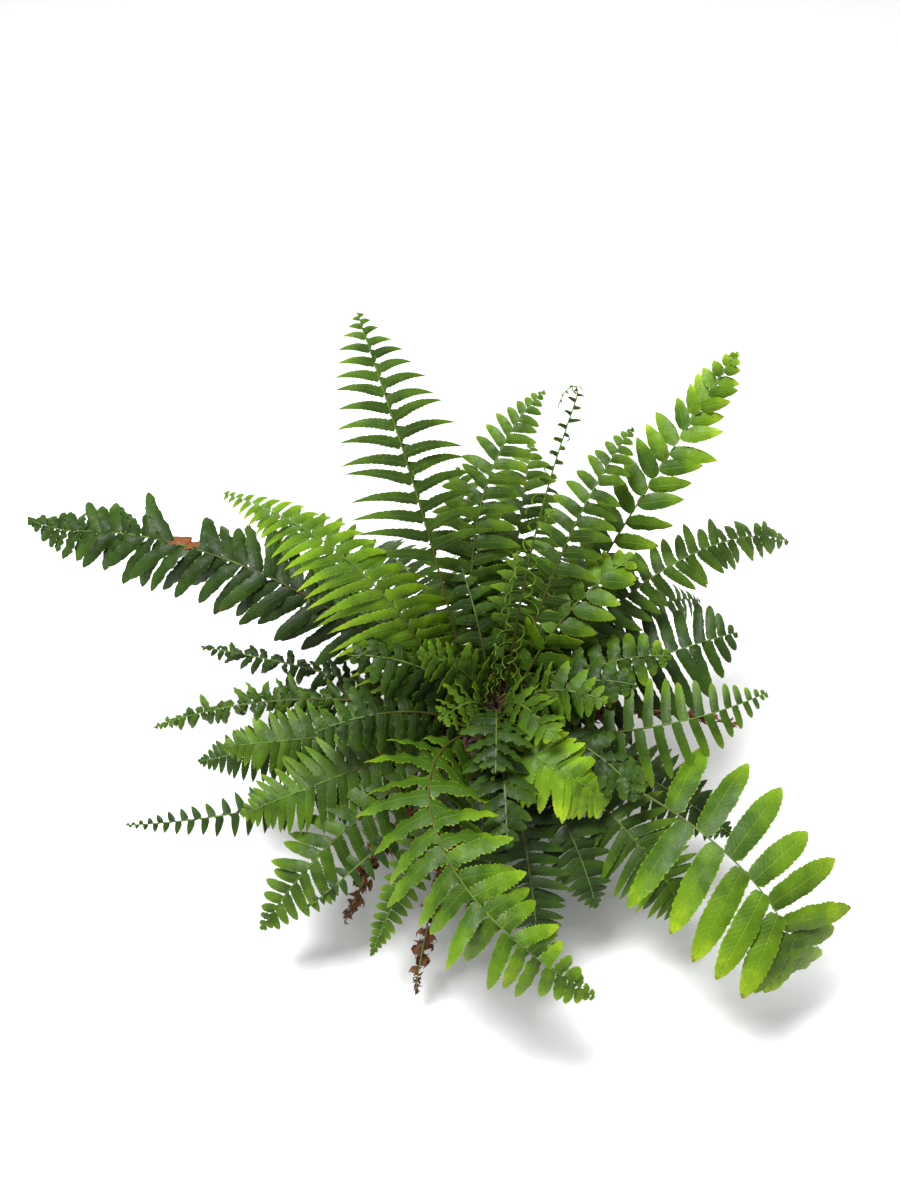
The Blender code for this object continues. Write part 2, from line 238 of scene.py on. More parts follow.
def run_recipe(name, mesh, tree, values):
    """The plain mesh that a tree makes of a starting mesh, as a new object at the origin."""
    start = bpy.data.objects.new(name, mesh)
    bpy.context.scene.collection.objects.link(start)
    modifier = start.modifiers.new("recipe", "NODES")
    modifier.node_group = tree
    for item in tree.interface.items_tree:
        if item.in_out == "INPUT" and item.name in values:
            modifier[item.identifier] = values[item.name]
    start.update_tag()
    seen = start.evaluated_get(bpy.context.evaluated_depsgraph_get())
    made = bpy.data.meshes.new_from_object(seen)
    start.modifiers.remove(modifier)
    start.data = made
    made.name = name
    bpy.data.meshes.remove(mesh)
    return start


def seat(piece, part, slot, sharp_from):
    """Fixes a finished piece to the plant in place of the plain part.

    Its shading is smooth, with a crease wherever two faces meet at more than an angle in
    degrees. Gives back how many faces it has.
    """
    piece.data.shade_smooth()
    piece.data.set_sharp_from_angle(angle=radians(sharp_from))
    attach(piece, "root")
    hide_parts(part)
    return len(piece.data.polygons)


def mesh_of(shape, name):
    """The plain mesh of a shape that was being edited."""
    mesh = bpy.data.meshes.new(name)
    shape.to_mesh(mesh)
    shape.free()
    return mesh


def collection_of(title, meshes):
    """A collection of loose shapes for a recipe to pick from."""
    kept = bpy.data.collections.new(title)
    for mesh in meshes:
        kept.objects.link(bpy.data.objects.new(mesh.name, mesh))
    return kept


print("the helpers for recipes are ready")

# %% [markdown]
# ## One pinna
#
# A frond is a stem with leaflets, the pinnae, in two rows. Each is a thin blade with a
# midrib, a toothed edge and, on many fronds, a small ear beside the stem on its tipward edge.
# It is drawn flat here: x counts half-widths from the midrib, y runs from 0 at the stem
# to 1 at the point. With two faces a side for each tooth, a blade stays at a few dozen faces.

# %% The outlines
class Outline(NamedTuple):
    """The shape of a pinna's edge, with its width as 1."""
    teeth: int
    depth: float                    # of a tooth, as a share of the half-width
    base: float                     # width beside the stem
    swell: float                    # share of the length over which it widens
    blunt: float                    # higher keeps the width further out
    point: float                    # lower rounds the tip
    ear: float                      # height of the ear on the tipward edge


OUTLINES = {
    "sickle": Outline(12, 0.08, 1.00, 0.10, 2.6, 1.00, 0.75),
    "plume": Outline(12, 0.08, 1.00, 0.10, 3.0, 0.95, 0.45),
    "comb": Outline(9, 0.07, 1.05, 0.10, 3.2, 0.90, 0.40),
    "tile": Outline(9, 0.045, 0.95, 0.12, 5.0, 0.60, 0.25),
    "paddle": Outline(10, 0.035, 0.35, 0.14, 2.4, 0.80, 0.10),
    "fan": Outline(13, 0.055, 0.60, 0.20, 4.0, 0.72, 0.10),
    "saw": Outline(13, 0.08, 1.00, 0.12, 4.0, 0.75, 0.35),
    "hook": Outline(7, 0.06, 1.00, 0.10, 1.3, 0.95, 0.50),
}
VARIANTS = 3
EAR_AT = 0.07
EAR_SPREAD = 0.045
STALK = 0.03                        # share of the length over which the base widens
LAST_TOOTH = 0.985                  # how far out the last tooth's tip may stand


def half_width(outline, out, tipward):
    """Half the pinna's width at a share of its length."""
    body = 1 - (1 - outline.base) * exp(-out / outline.swell)
    body *= (1 - out ** outline.blunt) ** outline.point
    stalk = min(1.0, 0.8 + out / STALK)
    ear = outline.ear * exp(-((out - EAR_AT) / EAR_SPREAD) ** 2)
    return body * stalk + (ear if tipward else -0.25 * ear * body)


def pinna_mesh(name, outline, seed):
    """One flat pinna, with its own small irregularities."""
    luck = Random(seed)
    grid = bmesh.new()
    flat = grid.verts.layers.float_vector.new("flat")
    across = grid.verts.layers.float.new("across")

    def corner(x, y, share):
        vert = grid.verts.new((x, y, 0))
        vert[flat] = Vector((x, y, 0))
        vert[across] = share
        return vert

    rows = outline.teeth
    middle = [corner(0, k / rows, 0) for k in range(rows + 1)]
    for way in (-1, 1):
        halfway, notch, tooth = [], [], []
        for k in range(rows + 1):
            out = k / rows
            wide = half_width(outline, out, way > 0) * luck.uniform(0.95, 1.05)
            halfway.append(corner(way * wide * 0.5, out, way * 0.5))
            notch.append(corner(way * wide * (1 - outline.depth), out, way * 0.9))
            ahead = out + luck.uniform(0.6, 0.85) / rows
            ahead = min(LAST_TOOTH, ahead)
            wide = half_width(outline, ahead, way > 0)
            tooth.append(corner(way * wide * (1 + outline.depth), ahead, way))
        for k in range(rows):
            inner = [middle[k], halfway[k], halfway[k + 1], middle[k + 1]]
            edge = [halfway[k], notch[k], tooth[k], notch[k + 1], halfway[k + 1]]
            grid.faces.new(inner[::way])
            grid.faces.new(edge[::way])
    bmesh.ops.remove_doubles(grid, verts=grid.verts, dist=0.0001)
    loose = [vert for vert in grid.verts if not vert.link_faces]
    bmesh.ops.delete(grid, geom=loose, context="VERTS")
    return mesh_of(grid, name)


pinnae = {}
for title, outline in OUTLINES.items():
    variants = [pinna_mesh(f"pinna_{title}_{k}", outline, k) for k in range(VARIANTS)]
    pinnae[title] = collection_of("pinnae_" + title, variants)
    print(f"a {title} pinna has {len(variants[0].polygons)} faces")

# %% [markdown]
# ## The frond recipe
#
# A frond follows a rule, so it is grown by a recipe: walk along the stem, set a pinna to the
# left and to the right in turn, lean it towards the tip, then bend, wave and twist it, and let
# it hang a little under its own weight. On some fronds one row leans more than the other.
# The pinnae are instances only until they are realized. After that each point is put in
# place from the frame of its own pinna, which was stored before the instances were made.
# The blades then get a real thickness, so that they are closed and have a lower face.

# %% Grow a frond
BLADE_THICKNESS = 0.35 * MM
STEM_SIDES = 7
WELD = 0.000005

FROND_INPUTS = (
    ("Spine", "Geometry"), ("Pinnae", "Collection"), ("Material", "Material"), ("Seed", "Int"),
    ("Pairs", "Int"), ("First", "Float"), ("Last", "Float"), ("Crowding", "Float"),
    ("Width", "Float"), ("Lean", "Float"), ("Lean More", "Float"), ("Dip", "Float"),
    ("Bow", "Float"), ("Camber", "Float"), ("Wave", "Float"), ("Twist", "Float"),
    ("Sickle", "Float"), ("Unlike", "Float"), ("Stem Radius", "Float"),
    ("Tip Radius", "Float"), ("Dead At", "Float"), ("Sag", "Float"), ("Swing", "Float"),
)


def sampled(tree, curve, name, share, kind):
    """What the stem keeps under a name, at a share of its length."""
    inputs = {"Curves": curve, "Value": recall(tree, name, kind), "Factor": share}
    return node(tree, "GeometryNodeSampleCurve", inputs, mode="FACTOR",
                use_all_curves=True, data_type=kind)


def turned_pair(first, second, angle):
    """Two axes turned together by an angle, the first towards the second."""
    c = angle.do("COSINE")
    s = angle.do("SINE")
    return first * c + second * s, second * c - first * s


def frond_recipe():
    tree, given = new_recipe("frond", FROND_INPUTS)
    seed = given["Seed"]
    unlike = given["Unlike"]
    curve = node(tree, "GeometryNodeMeshToCurve", {"Mesh": given["Spine"]})

    # where each pinna sits, and which side it is on
    count = given["Pairs"] * 2
    points = node(tree, "GeometryNodePoints", {"Count": count})
    index = node(tree, "GeometryNodeInputIndex")
    step = (index + 0.5) / count
    crowded = (step * -1 + 1) ** given["Crowding"] * -1 + 1
    place = given["First"] + (given["Last"] - given["First"]) * crowded
    hand = index.do("FLOORED_MODULO", 2) * -2 + 1
    inputs = {"Curves": curve, "Value": 0.0, "Factor": place}
    root = node(tree, "GeometryNodeSampleCurve", inputs, output=1, mode="FACTOR",
                use_all_curves=True)
    along = sampled(tree, curve, "along", place, "FLOAT_VECTOR")
    side = sampled(tree, curve, "side", place, "FLOAT_VECTOR")
    up = sampled(tree, curve, "up", place, "FLOAT_VECTOR")
    reach = sampled(tree, curve, "reach", place, "FLOAT")

    # its own axes: outwards, towards the tip of the frond, and up
    lean = given["Lean"] + given["Lean More"] * place * place
    lean = lean + chance(tree, -0.22, 0.22, seed) * unlike + hand * given["Swing"]
    outwards, tipwards = turned_pair(side * hand, along, lean)
    dip = given["Dip"] + chance(tree, -0.35, 0.35, seed + 1) * unlike
    upwards, outwards = turned_pair(up, outwards, dip)
    roll = chance(tree, -0.5, 0.5, seed + 2) * unlike
    tipwards, upwards = turned_pair(tipwards, upwards, roll)
    dead = (place - given["Dead At"]).do("ABSOLUTE").do("LESS_THAN", 0.02)
    dead = dead * (hand * -1).do("GREATER_THAN", 0.0)
    length = reach * (chance(tree, -0.16, 0.10, seed + 3) * unlike + 1) * (dead * -0.25 + 1)
    bow = given["Bow"] * (chance(tree, -0.5, 0.7, seed + 4) * unlike + 1) + dead * 2.2
    facts = {
        "root": root, "outwards": outwards, "tipwards": tipwards, "upwards": upwards,
        "length": length, "bow": bow + 0.01, "hand": hand, "place": place, "dead": dead,
        "luck": chance(tree, 0.0, 1.0, seed + 5),
        "wide": sampled(tree, curve, "wide", place, "FLOAT") * given["Width"] * (dead * 0.5 + 1),
    }
    for name, value in facts.items():
        points = store(tree, points, name, value)

    pick = node(tree, "FunctionNodeRandomValue", {4: 0, 5: VARIANTS - 1, "Seed": seed + 6},
                output=2, data_type="INT")
    blades = picked(tree, points, given["Pinnae"], **{"Instance Index": pick})
    blades = node(tree, "GeometryNodeRealizeInstances", {"Geometry": blades})

    # put each point of each pinna in place
    half, out, _ = recall(tree, "flat", "FLOAT_VECTOR").parts()
    length = recall(tree, "length")
    bow = recall(tree, "bow")
    wide = recall(tree, "wide")
    outwards = recall(tree, "outwards", "FLOAT_VECTOR")
    tipwards = recall(tree, "tipwards", "FLOAT_VECTOR")
    upwards = recall(tree, "upwards", "FLOAT_VECTOR")
    bent = bow * out
    run = length * bent.do("SINE") / bow
    drop = length * (bent.do("COSINE") - 1) / bow
    crossways, outer = turned_pair(tipwards, upwards, given["Twist"] * out)
    ripple = (out * 20 + recall(tree, "luck") * 6 + half).do("SINE") * half.do("ABSOLUTE")
    rise = wide * (ripple * given["Wave"] - half * half * given["Camber"])
    spot = recall(tree, "root", "FLOAT_VECTOR") + outwards * run + upwards * drop
    spot = spot + tipwards * (length * given["Sickle"] * out * out)
    spot = spot + arrow_of(tree, Z=length * given["Sag"] * out * out * -1)
    spot = spot + crossways * (wide * half) + outer * rise
    blades = node(tree, "GeometryNodeSetPosition", {"Geometry": blades, "Position": spot})
    left_hand = recall(tree, "hand").do("LESS_THAN", 0.0)
    blades = node(tree, "GeometryNodeFlipFaces", {"Mesh": blades, "Selection": left_hand})
    blades = store(tree, blades, "out", out)

    # give the blades their thickness
    top = node(tree, "GeometryNodeExtrudeMesh",
               {"Mesh": blades, "Offset Scale": BLADE_THICKNESS, "Individual": False}, mode="FACES")
    bottom = node(tree, "GeometryNodeFlipFaces", {"Mesh": blades})
    bottom = store(tree, bottom, "under", 1.0, "FACE")
    shell = node(tree, "GeometryNodeMergeByDistance",
                 {"Geometry": joined(tree, bottom, top), "Distance": WELD})

    # the stem itself
    share = recall(tree, "share")
    radius = given["Stem Radius"] + (given["Tip Radius"] - given["Stem Radius"]) * share
    ring = node(tree, "GeometryNodeCurvePrimitiveCircle", {"Resolution": STEM_SIDES, "Radius": 1.0})
    stem = node(tree, "GeometryNodeCurveToMesh",
                {"Curve": curve, "Profile Curve": ring, "Scale": radius, "Fill Caps": True})
    stem = store(tree, stem, "stem", 1.0)
    stem = store(tree, stem, "place", share)
    end_recipe(tree, joined(tree, shell, stem), given["Material"])
    return tree


grow = frond_recipe()
print(f"the frond recipe has {len(grow.nodes)} nodes")

# %% [markdown]
# ## The look of a leaf
#
# A living pinna is never one green. It is deep near the stem and paler, even lime, where it
# is young; the midrib and the side veins are lighter, the margin is thin and pale, and the
# lower face is dull. Light also comes through it. A frond is also painted darker towards the
# crown, partly its own colour and partly painted shade deep in the plant, and the dark kind
# of leaf is partly painted shade for fronds that sit in the shade of others. The recipe left
# values on the mesh that say how far out, how far across and how far along the frond each
# point is, so the finish can follow the leaf. Fine mottling comes from noise on the object's
# own coordinates.

# %% Finishes made of nodes
def value_of(tree, name):
    """A number that the mesh carries."""
    return node(tree, "ShaderNodeAttribute", output=2, attribute_name=name)


def noise(tree, scale, detail=3.0, roughness=0.5):
    """Soft random patches, `scale` of them to a metre."""
    place = node(tree, "ShaderNodeTexCoord", output=3)
    inputs = {"Vector": place, "Scale": scale, "Detail": detail, "Roughness": roughness}
    return node(tree, "ShaderNodeTexNoise", inputs)


def mixed(tree, share, first, second):
    """Two colours, with a share of the second."""
    made = tree.nodes.new("ShaderNodeMix")
    made.data_type = "RGBA"
    plug(tree, made.inputs[0], share)
    for socket, value in ((made.inputs[6], first), (made.inputs[7], second)):
        plug(tree, socket, value if isinstance(value, Wire) else (*value, 1.0))
    return Wire(tree, made.outputs[2])


def new_finish(title):
    """A material, its tree and its main shader."""
    material = bpy.data.materials.new(title)
    material.use_nodes = True
    tree = material.node_tree
    return material, tree, tree.nodes["Principled BSDF"]


def coat(tree, shader, colour, dullness):
    """Gives the surface its colour and its roughness."""
    plug(tree, shader.inputs["Base Color"], colour)
    plug(tree, shader.inputs["Roughness"], dullness)


def bumped(tree, shader, height, strength, distance):
    """Raises the surface where height is high."""
    inputs = {"Height": height, "Strength": strength, "Distance": distance}
    plug(tree, shader.inputs["Normal"], node(tree, "ShaderNodeBump", inputs))


class Green(NamedTuple):
    """The colours of one kind of leaf, and how they are shared out."""
    deep: tuple
    middle: tuple
    young: tuple
    by_out: float                   # how much a pinna lightens towards its point
    # the darker foot of a frond is partly painted shade, deep in the plant
    by_place: float                 # how much the frond lightens towards its tip
    start: float
    through: float                  # share of the light that passes through


GREENS = {
    "lime": Green((0.060, 0.140, 0.005), (0.190, 0.360, 0.008), (0.520, 0.740, 0.016),
                  0.85, 0.15, 0.04, 0.24),
    "bright": Green((0.036, 0.092, 0.004), (0.130, 0.255, 0.006), (0.430, 0.620, 0.014),
                    0.70, 0.40, -0.06, 0.22),
    "mid": Green((0.024, 0.062, 0.003), (0.085, 0.178, 0.006), (0.300, 0.460, 0.014),
                 0.65, 0.35, -0.08, 0.18),
    # the dark kind is partly the leaves' own deep green and partly painted shade, for fronds in the
    # shade of others
    "dark": Green((0.010, 0.029, 0.002), (0.032, 0.080, 0.004), (0.130, 0.230, 0.010),
                  0.50, 0.35, -0.05, 0.12),
    "dry": Green((0.045, 0.016, 0.007), (0.150, 0.055, 0.018), (0.330, 0.170, 0.065),
                 0.40, 0.20, 0.15, 0.10),
}
STEM_FOOT = (0.070, 0.045, 0.014)
STEM_TIP = (0.150, 0.260, 0.050)
DEAD_BROWN = (0.200, 0.062, 0.020)
VEINS = 15                          # side veins on each half of a pinna


def leaf_finish(title, green):
    material, tree, shader = new_finish(title)
    out = value_of(tree, "out")
    across = value_of(tree, "across").do("ABSOLUTE")
    place = value_of(tree, "place")
    luck = value_of(tree, "luck")
    clouds = noise(tree, 55)
    grain = noise(tree, 700, 2.0)

    # deeper towards a pinna's foot and a frond's foot; towards the crown this is partly painted shade
    age = out * out * green.by_out + place * place * green.by_place + green.start
    age = age + (clouds - 0.5) * 0.9 + (luck - 0.5) * 0.25
    colour = mixed(tree, age.above(0.0, 0.5), green.deep, green.middle)
    colour = mixed(tree, age.above(0.45, 1.15), colour, green.young)

    slant = (out * VEINS - across * 2.2) * (2 * pi)
    vein = slant.do("COSINE").above(0.55, 1.0)
    colour = mixed(tree, vein * 0.05, colour, green.young)
    midrib = across.above(0.01, 0.08) * -1 + 1
    colour = mixed(tree, midrib * 0.16, colour, green.young)
    margin = across.above(0.86, 1.0)
    colour = mixed(tree, margin * 0.50, colour, green.young)
    colour = mixed(tree, grain.above(0.45, 0.75) * 0.35, colour, green.deep)
    under = value_of(tree, "under")
    colour = mixed(tree, under * 0.35, colour, green.middle)
    speck = node(tree, "ShaderNodeTexVoronoi",
                 {"Vector": node(tree, "ShaderNodeTexCoord", output=3), "Scale": 330.0})
    speck = speck.above(0.08, 0.12) * -1 + 1
    colour = mixed(tree, speck * noise(tree, 90).above(0.52, 0.6) * 0.5, colour, (0.6, 0.65, 0.5))
    crisp = (out + (grain - 0.5) * 0.3).above(0.93, 1.0) * (luck - 0.72).above(0.0, 0.1)
    dead = value_of(tree, "dead")
    brown = dead + crisp * 0.8
    colour = mixed(tree, brown, colour, DEAD_BROWN)
    stem = value_of(tree, "stem")
    wood = mixed(tree, (place + (clouds - 0.5)).above(0.30, 0.95), STEM_FOOT, STEM_TIP)
    wood = mixed(tree, 0.22, wood, green.middle)
    colour = mixed(tree, stem, colour, wood)

    coat(tree, shader, colour, grain * 0.22 + clouds * 0.12 + under * 0.2 + 0.30)
    shader.inputs["Specular IOR Level"].default_value = 0.28
    height = vein * -0.28 + midrib * -0.8 + grain * 0.5 + noise(tree, 220) * 1.3
    bumped(tree, shader, height, 0.7, 0.5 * MM)

    # light that comes through the blade
    through = tree.nodes.new("ShaderNodeBsdfTranslucent")
    plug(tree, through.inputs["Color"], mixed(tree, 0.45, colour, green.young))
    both = tree.nodes.new("ShaderNodeMixShader")
    both.inputs[0].default_value = green.through
    tree.links.new(shader.outputs[0], both.inputs[1])
    tree.links.new(through.outputs[0], both.inputs[2])
    tree.links.new(both.outputs[0], tree.nodes["Material Output"].inputs["Surface"])
    return material


leaf_finishes = {tone: leaf_finish("leaf_" + tone, green) for tone, green in GREENS.items()}
print(f"{len(leaf_finishes)} leaf finishes")

# %% [markdown]
# ## Kinds of blade
#
# Pinnae differ from frond to frond: long and pointed on one, short and blunt on the next,
# crumpled on an old one. A kind of blade is one row of numbers for the recipe: which outline,
# how wide and how close, how far each pinna leans, bends, twists and hangs, and how much they
# differ. Sixteen rows are enough, since each frond also has its own seed.

# %% The kinds of blade
class Leaf(NamedTuple):
    """How the pinnae of one kind of frond are set and bent."""
    outline: str
    spacing: float                  # mm between two on the same side, on average
    width: float                    # mm
    lean: float                     # degrees towards the tip of the frond
    lean_more: float                # degrees added by the tip
    dip: float                      # degrees below the blade's plane
    bow: float                      # degrees that a pinna bends down along its length
    camber: float                   # how far its edges turn down
    wave: float                     # how high its edges ripple
    twist: float                    # degrees from its foot to its point
    sickle: float                   # how far the point bends to the tip of the frond
    unlike: float                   # how much the pinnae differ
    taper: float                    # higher keeps long pinnae closer to the tip
    crowding: float                 # above 1 they stand closer towards the tip
    sag: float = 0.08               # how far a pinna hangs, as a share of its length


LEAVES = {
    "sickle": Leaf("sickle", 11.5, 8.6, 22, 12, 0, 30, 0.12, 0.08, 12, -0.24, 0.40, 5.0, 1.40, 0.22),
    "feather": Leaf("saw", 11.0, 9.6, 20, 16, 0, 26, 0.16, 0.12, 16, -0.10, 0.60, 4.0, 1.40, 0.16),
    "plume": Leaf("plume", 9.2, 8.4, 8, 14, 4, 28, 0.14, 0.08, 6, -0.06, 0.30, 1.8, 1.30, 0.40),
    "ridge": Leaf("saw", 6.2, 9.0, 12, 24, 4, 28, 0.16, 0.10, 14, 0.00, 0.50, 6.0, 1.30, 0.16),
    "comb": Leaf("comb", 7.4, 7.6, 8, 20, 4, 24, 0.15, 0.08, 8, 0.02, 0.45, 4.0, 1.40),
    "thorn": Leaf("sickle", 10.5, 7.2, 4, 18, 2, 16, 0.15, 0.06, 12, 0.05, 0.50, 2.6, 1.40),
    "tile": Leaf("tile", 9.2, 10.5, 28, 10, 2, 30, 0.28, 0.32, 32, 0.04, 0.85, 5.5, 1.40),
    "ladder": Leaf("tile", 11.0, 8.0, 0, 14, 2, 22, 0.20, 0.10, 12, 0.02, 0.45, 2.2, 1.50),
    "strap": Leaf("tile", 11.5, 10.0, 2, 14, 2, 24, 0.25, 0.25, 20, 0.04, 0.60, 5.0, 1.30),
    "paddle": Leaf("paddle", 13.5, 14.5, 30, 14, -4, 20, 0.24, 0.14, 16, 0.00, 0.75, 5.5, 1.35),
    "fan": Leaf("fan", 15.5, 20.0, -30, 84, 2, 18, 0.20, 0.10, 10, 0.00, 0.45, 9.0, 1.75),
    "saw": Leaf("saw", 13.0, 13.0, 4, 24, 2, 34, 0.18, 0.20, 22, 0.02, 0.80, 3.0, 1.35, 0.14),
    "hook": Leaf("hook", 10.5, 3.4, 14, 14, -8, -110, 0.30, 0.10, 24, 0.10, 0.60, 4.0, 1.20),
    "bowed": Leaf("comb", 9.5, 8.5, 14, 22, 6, 34, 0.20, 0.10, 18, 0.08, 0.50, 6.0, 1.30),
    "curly": Leaf("comb", 6.8, 6.0, 16, 20, 0, 80, 0.45, 0.40, 70, 0.20, 1.20, 5.0, 1.25),
    "shred": Leaf("tile", 9.0, 9.0, 20, 20, 10, 170, 0.90, 0.60, 160, 0.20, 1.80, 5.0, 1.10),
}


print(f"{len(LEAVES)} kinds of blade")

# %% [markdown]
# ## Every frond's place
#
# The fronds are those of the plain model: each one leaves the crown where it does there and
# bends the same way, so the numbers of its path are the same here. What is added is the kind
# of blade, the bare foot of the stem, a dead pinna, and the swing of one row past the other.

# %% The table of fronds
class Frond(NamedTuple):
    """One frond. It leaves the crown `seat` from its middle, in the direction it heads."""
    name: str
    tone: str
    leaf: str
    heading: float                  # degrees, 0 is +X and 90 is +Y
    turn: float                     # degrees the heading swings, foot to tip
    rise: float                     # degrees above level at the foot
    fall: float                     # degrees above level at the tip
    bend: float                     # 1 bends evenly along the stem, more bends late
    length: float                   # millimetres along the stem
    reach: float                    # millimetres from stem to the longest pinna's tip
    seat: float                     # millimetres
    curl: float = 0                 # degrees the last stretch curls, up or (minus) down
    bare: float = 0.06              # share of the stem below the first pinna
    dead_at: float = -1             # where along the stem a dead pinna hangs on
    swing: float = 0                # degrees one side leans more, and the other less


# a frond's tone is partly painted shade: the dark tone goes to fronds that lie low or in the middle,
# in the shade of others
FRONDS = (
    # upright at the back
    Frond("frond_back_tall", "mid", "sickle", 140, -19, 76, 52, 1.5, 305, 52, 24, bare=0.40,
          swing=12),
    Frond("frond_back_dark", "mid", "feather", 120, -85, 80, 28, 1.5, 245, 36, 28),
    Frond("frond_crozier", "mid", "hook", 50, 0, 85, 58, 1.5, 290, 24, 12, 200),
    Frond("frond_back_narrow", "mid", "feather", 50, 0, 75, 26, 1.5, 225, 34, 24),
    Frond("frond_back_inner", "mid", "feather", 104, 0, 70, 30, 1.4, 175, 44, 18),
    Frond("frond_back_broad", "mid", "feather", 80, 0, 66, 15, 1.4, 190, 44, 32),
    Frond("frond_back_shaded", "mid", "feather", 148, 0, 55, 0, 1.3, 215, 44, 36),
    # right
    Frond("frond_right_tall", "bright", "paddle", 42, 0, 54, 42, 1.0, 294, 38, 32),
    Frond("frond_right_cupped", "bright", "paddle", 32, 0, 70, 10, 1.4, 150, 32, 16),
    Frond("frond_right_bowed", "mid", "bowed", 30, 0, 58, -42, 1.2, 275, 30, 36),
    Frond("frond_right_dark", "dark", "strap", 15, 0, 25, 5, 1.0, 156, 50, 38),
    Frond("frond_right_comb", "mid", "ladder", 326, 62, 34, 2, 1.0, 180, 50, 34),
    Frond("frond_right_withered", "dry", "shred", 2, 0, 12, -25, 1.0, 150, 12, 40),
    Frond("frond_right_twisted", "dry", "shred", 346, 0, 0, -45, 1.0, 140, 12, 42),
    Frond("frond_right_lower", "dark", "comb", 336, 0, 4, -35, 1.0, 155, 34, 42),
    Frond("frond_right_fan", "bright", "fan", 320, -6, 15, -84, 2.6, 270, 68, 38, bare=0.42,
          swing=-7),
    Frond("frond_right_low", "mid", "comb", 314, 2, 4, -50, 1.2, 170, 46, 40),
    # front; the dark ones low at the front are dark partly as painted shade
    Frond("frond_front_lime", "lime", "ridge", 270, 96, 55, -50, 1.0, 132, 34, 16),
    Frond("frond_front_right", "dark", "comb", 298, 0, 10, -60, 1.0, 130, 34, 38),
    Frond("frond_front_dark", "dark", "comb", 280, 0, 8, -65, 1.0, 150, 34, 40),
    Frond("frond_front_short", "dark", "comb", 263, 0, 8, -60, 1.0, 120, 26, 38),
    Frond("frond_front_bright", "bright", "saw", 226, 136, 38, -50, 1.0, 290, 54, 28),
    Frond("frond_front_dead", "dry", "shred", 230, 0, 2, -60, 1.0, 160, 22, 38),
    Frond("frond_front_crumpled", "dry", "shred", 251, 0, 0, -72, 1.0, 185, 22, 41),
    Frond("frond_front_left", "mid", "comb", 243, -6, 0, -50, 1.0, 160, 20, 43),
    # left
    Frond("frond_left_arching", "lime", "plume", 174, -14, 72, 0, 2.0, 260, 66, 30, swing=30),
    Frond("frond_left_long", "dark", "tile", 160, 0, 50, -28, 1.0, 375, 44, 39, 40,
          dead_at=0.62),
    Frond("frond_left_curly", "dark", "curly", 168, 0, 16, 0, 1.0, 190, 24, 40),
    Frond("frond_left_dusky", "dark", "curly", 175, 0, 10, -5, 1.0, 150, 26, 41),
    Frond("frond_left_ragged", "mid", "curly", 181, 0, 24, -28, 1.0, 230, 24, 34),
    Frond("frond_left_comb", "mid", "comb", 195, -5, 12, 3, 1.0, 165, 36, 38),
    Frond("frond_left_under", "dark", "comb", 188, 0, 2, -10, 1.0, 180, 34, 43),
    Frond("frond_left_thin", "dark", "thorn", 213, -33, 0, -4, 1.0, 240, 24, 43),
    Frond("frond_left_layered", "mid", "comb", 213, -14, 14, -12, 1.0, 172, 40, 32),
    Frond("frond_left_hanging", "mid", "feather", 223, -6, 10, -52, 1.2, 200, 36, 40),
    Frond("frond_left_small", "dark", "thorn", 235, -22, -6, -20, 1.0, 160, 22, 43),
    # short and young, over the middle; the dark ones are dark partly as painted shade
    Frond("frond_centre_curly", "mid", "hook", 12, 0, 72, -40, 1.0, 100, 16, 10),
    Frond("frond_centre_left", "mid", "strap", 235, 0, 80, 10, 1.0, 90, 24, 10),
    Frond("frond_centre_right", "mid", "feather", 300, 0, 80, -10, 1.0, 95, 28, 6),
    Frond("fiddlehead", "mid", "hook", 100, 0, 88, 80, 1.0, 70, 8, 4, 220),
    Frond("frond_centre_north", "dark", "sickle", 116, 0, 82, 40, 1.2, 115, 24, 10),
    Frond("frond_centre_rear", "mid", "sickle", 76, 0, 84, 45, 1.2, 120, 22, 13),
    Frond("frond_centre_west", "dark", "strap", 188, 0, 74, 5, 1.2, 125, 30, 19),
    Frond("frond_centre_low_left", "dark", "strap", 205, 0, 55, -5, 1.0, 130, 30, 27),
    Frond("frond_centre_front", "dark", "strap", 268, 0, 78, -20, 1.0, 105, 30, 9),
    Frond("frond_centre_south", "dark", "feather", 272, 0, 60, -40, 1.0, 120, 30, 26),
    Frond("frond_centre_east", "dark", "strap", 350, 0, 74, -10, 1.0, 105, 26, 18),
    Frond("frond_centre_low_right", "dark", "tile", 318, 0, 55, -35, 1.0, 115, 26, 29),
    Frond("frond_centre_side", "mid", "strap", 8, 0, 62, -15, 1.0, 120, 28, 27),
    Frond("frond_centre_dark", "dark", "comb", 156, 0, 60, 0, 1.2, 130, 28, 29),
    Frond("frond_centre_mid", "mid", "feather", 330, 0, 80, 0, 1.0, 105, 28, 11),
    Frond("frond_centre_arched", "mid", "feather", 196, 0, 87, 30, 1.0, 100, 26, 8),
    # low at the back
    Frond("frond_rear_right", "mid", "sickle", 40, 0, 25, -40, 1.0, 200, 30, 42),
    Frond("frond_rear_short", "dark", "comb", 65, 0, 30, -50, 1.0, 210, 32, 41),
    Frond("frond_rear_middle", "mid", "sickle", 92, 0, 25, -50, 1.0, 220, 34, 41),
    Frond("frond_rear_wide", "dark", "comb", 116, 0, 30, -50, 1.0, 220, 34, 41),
    Frond("frond_rear_left", "mid", "sickle", 137, 0, 22, -40, 1.0, 210, 30, 41),
)
print(f"{len(FRONDS)} fronds, of which {len([f for f in FRONDS if f.tone == 'dry'])} are dead")

# %% [markdown]
# ## The pot, the mix and the crown have simple rules
#
# The wall tapers, the band at the rim stands out a little, and the mix and the crown are two
# low domes. A frond's foot stands on the crown, so its height comes from the same rules.

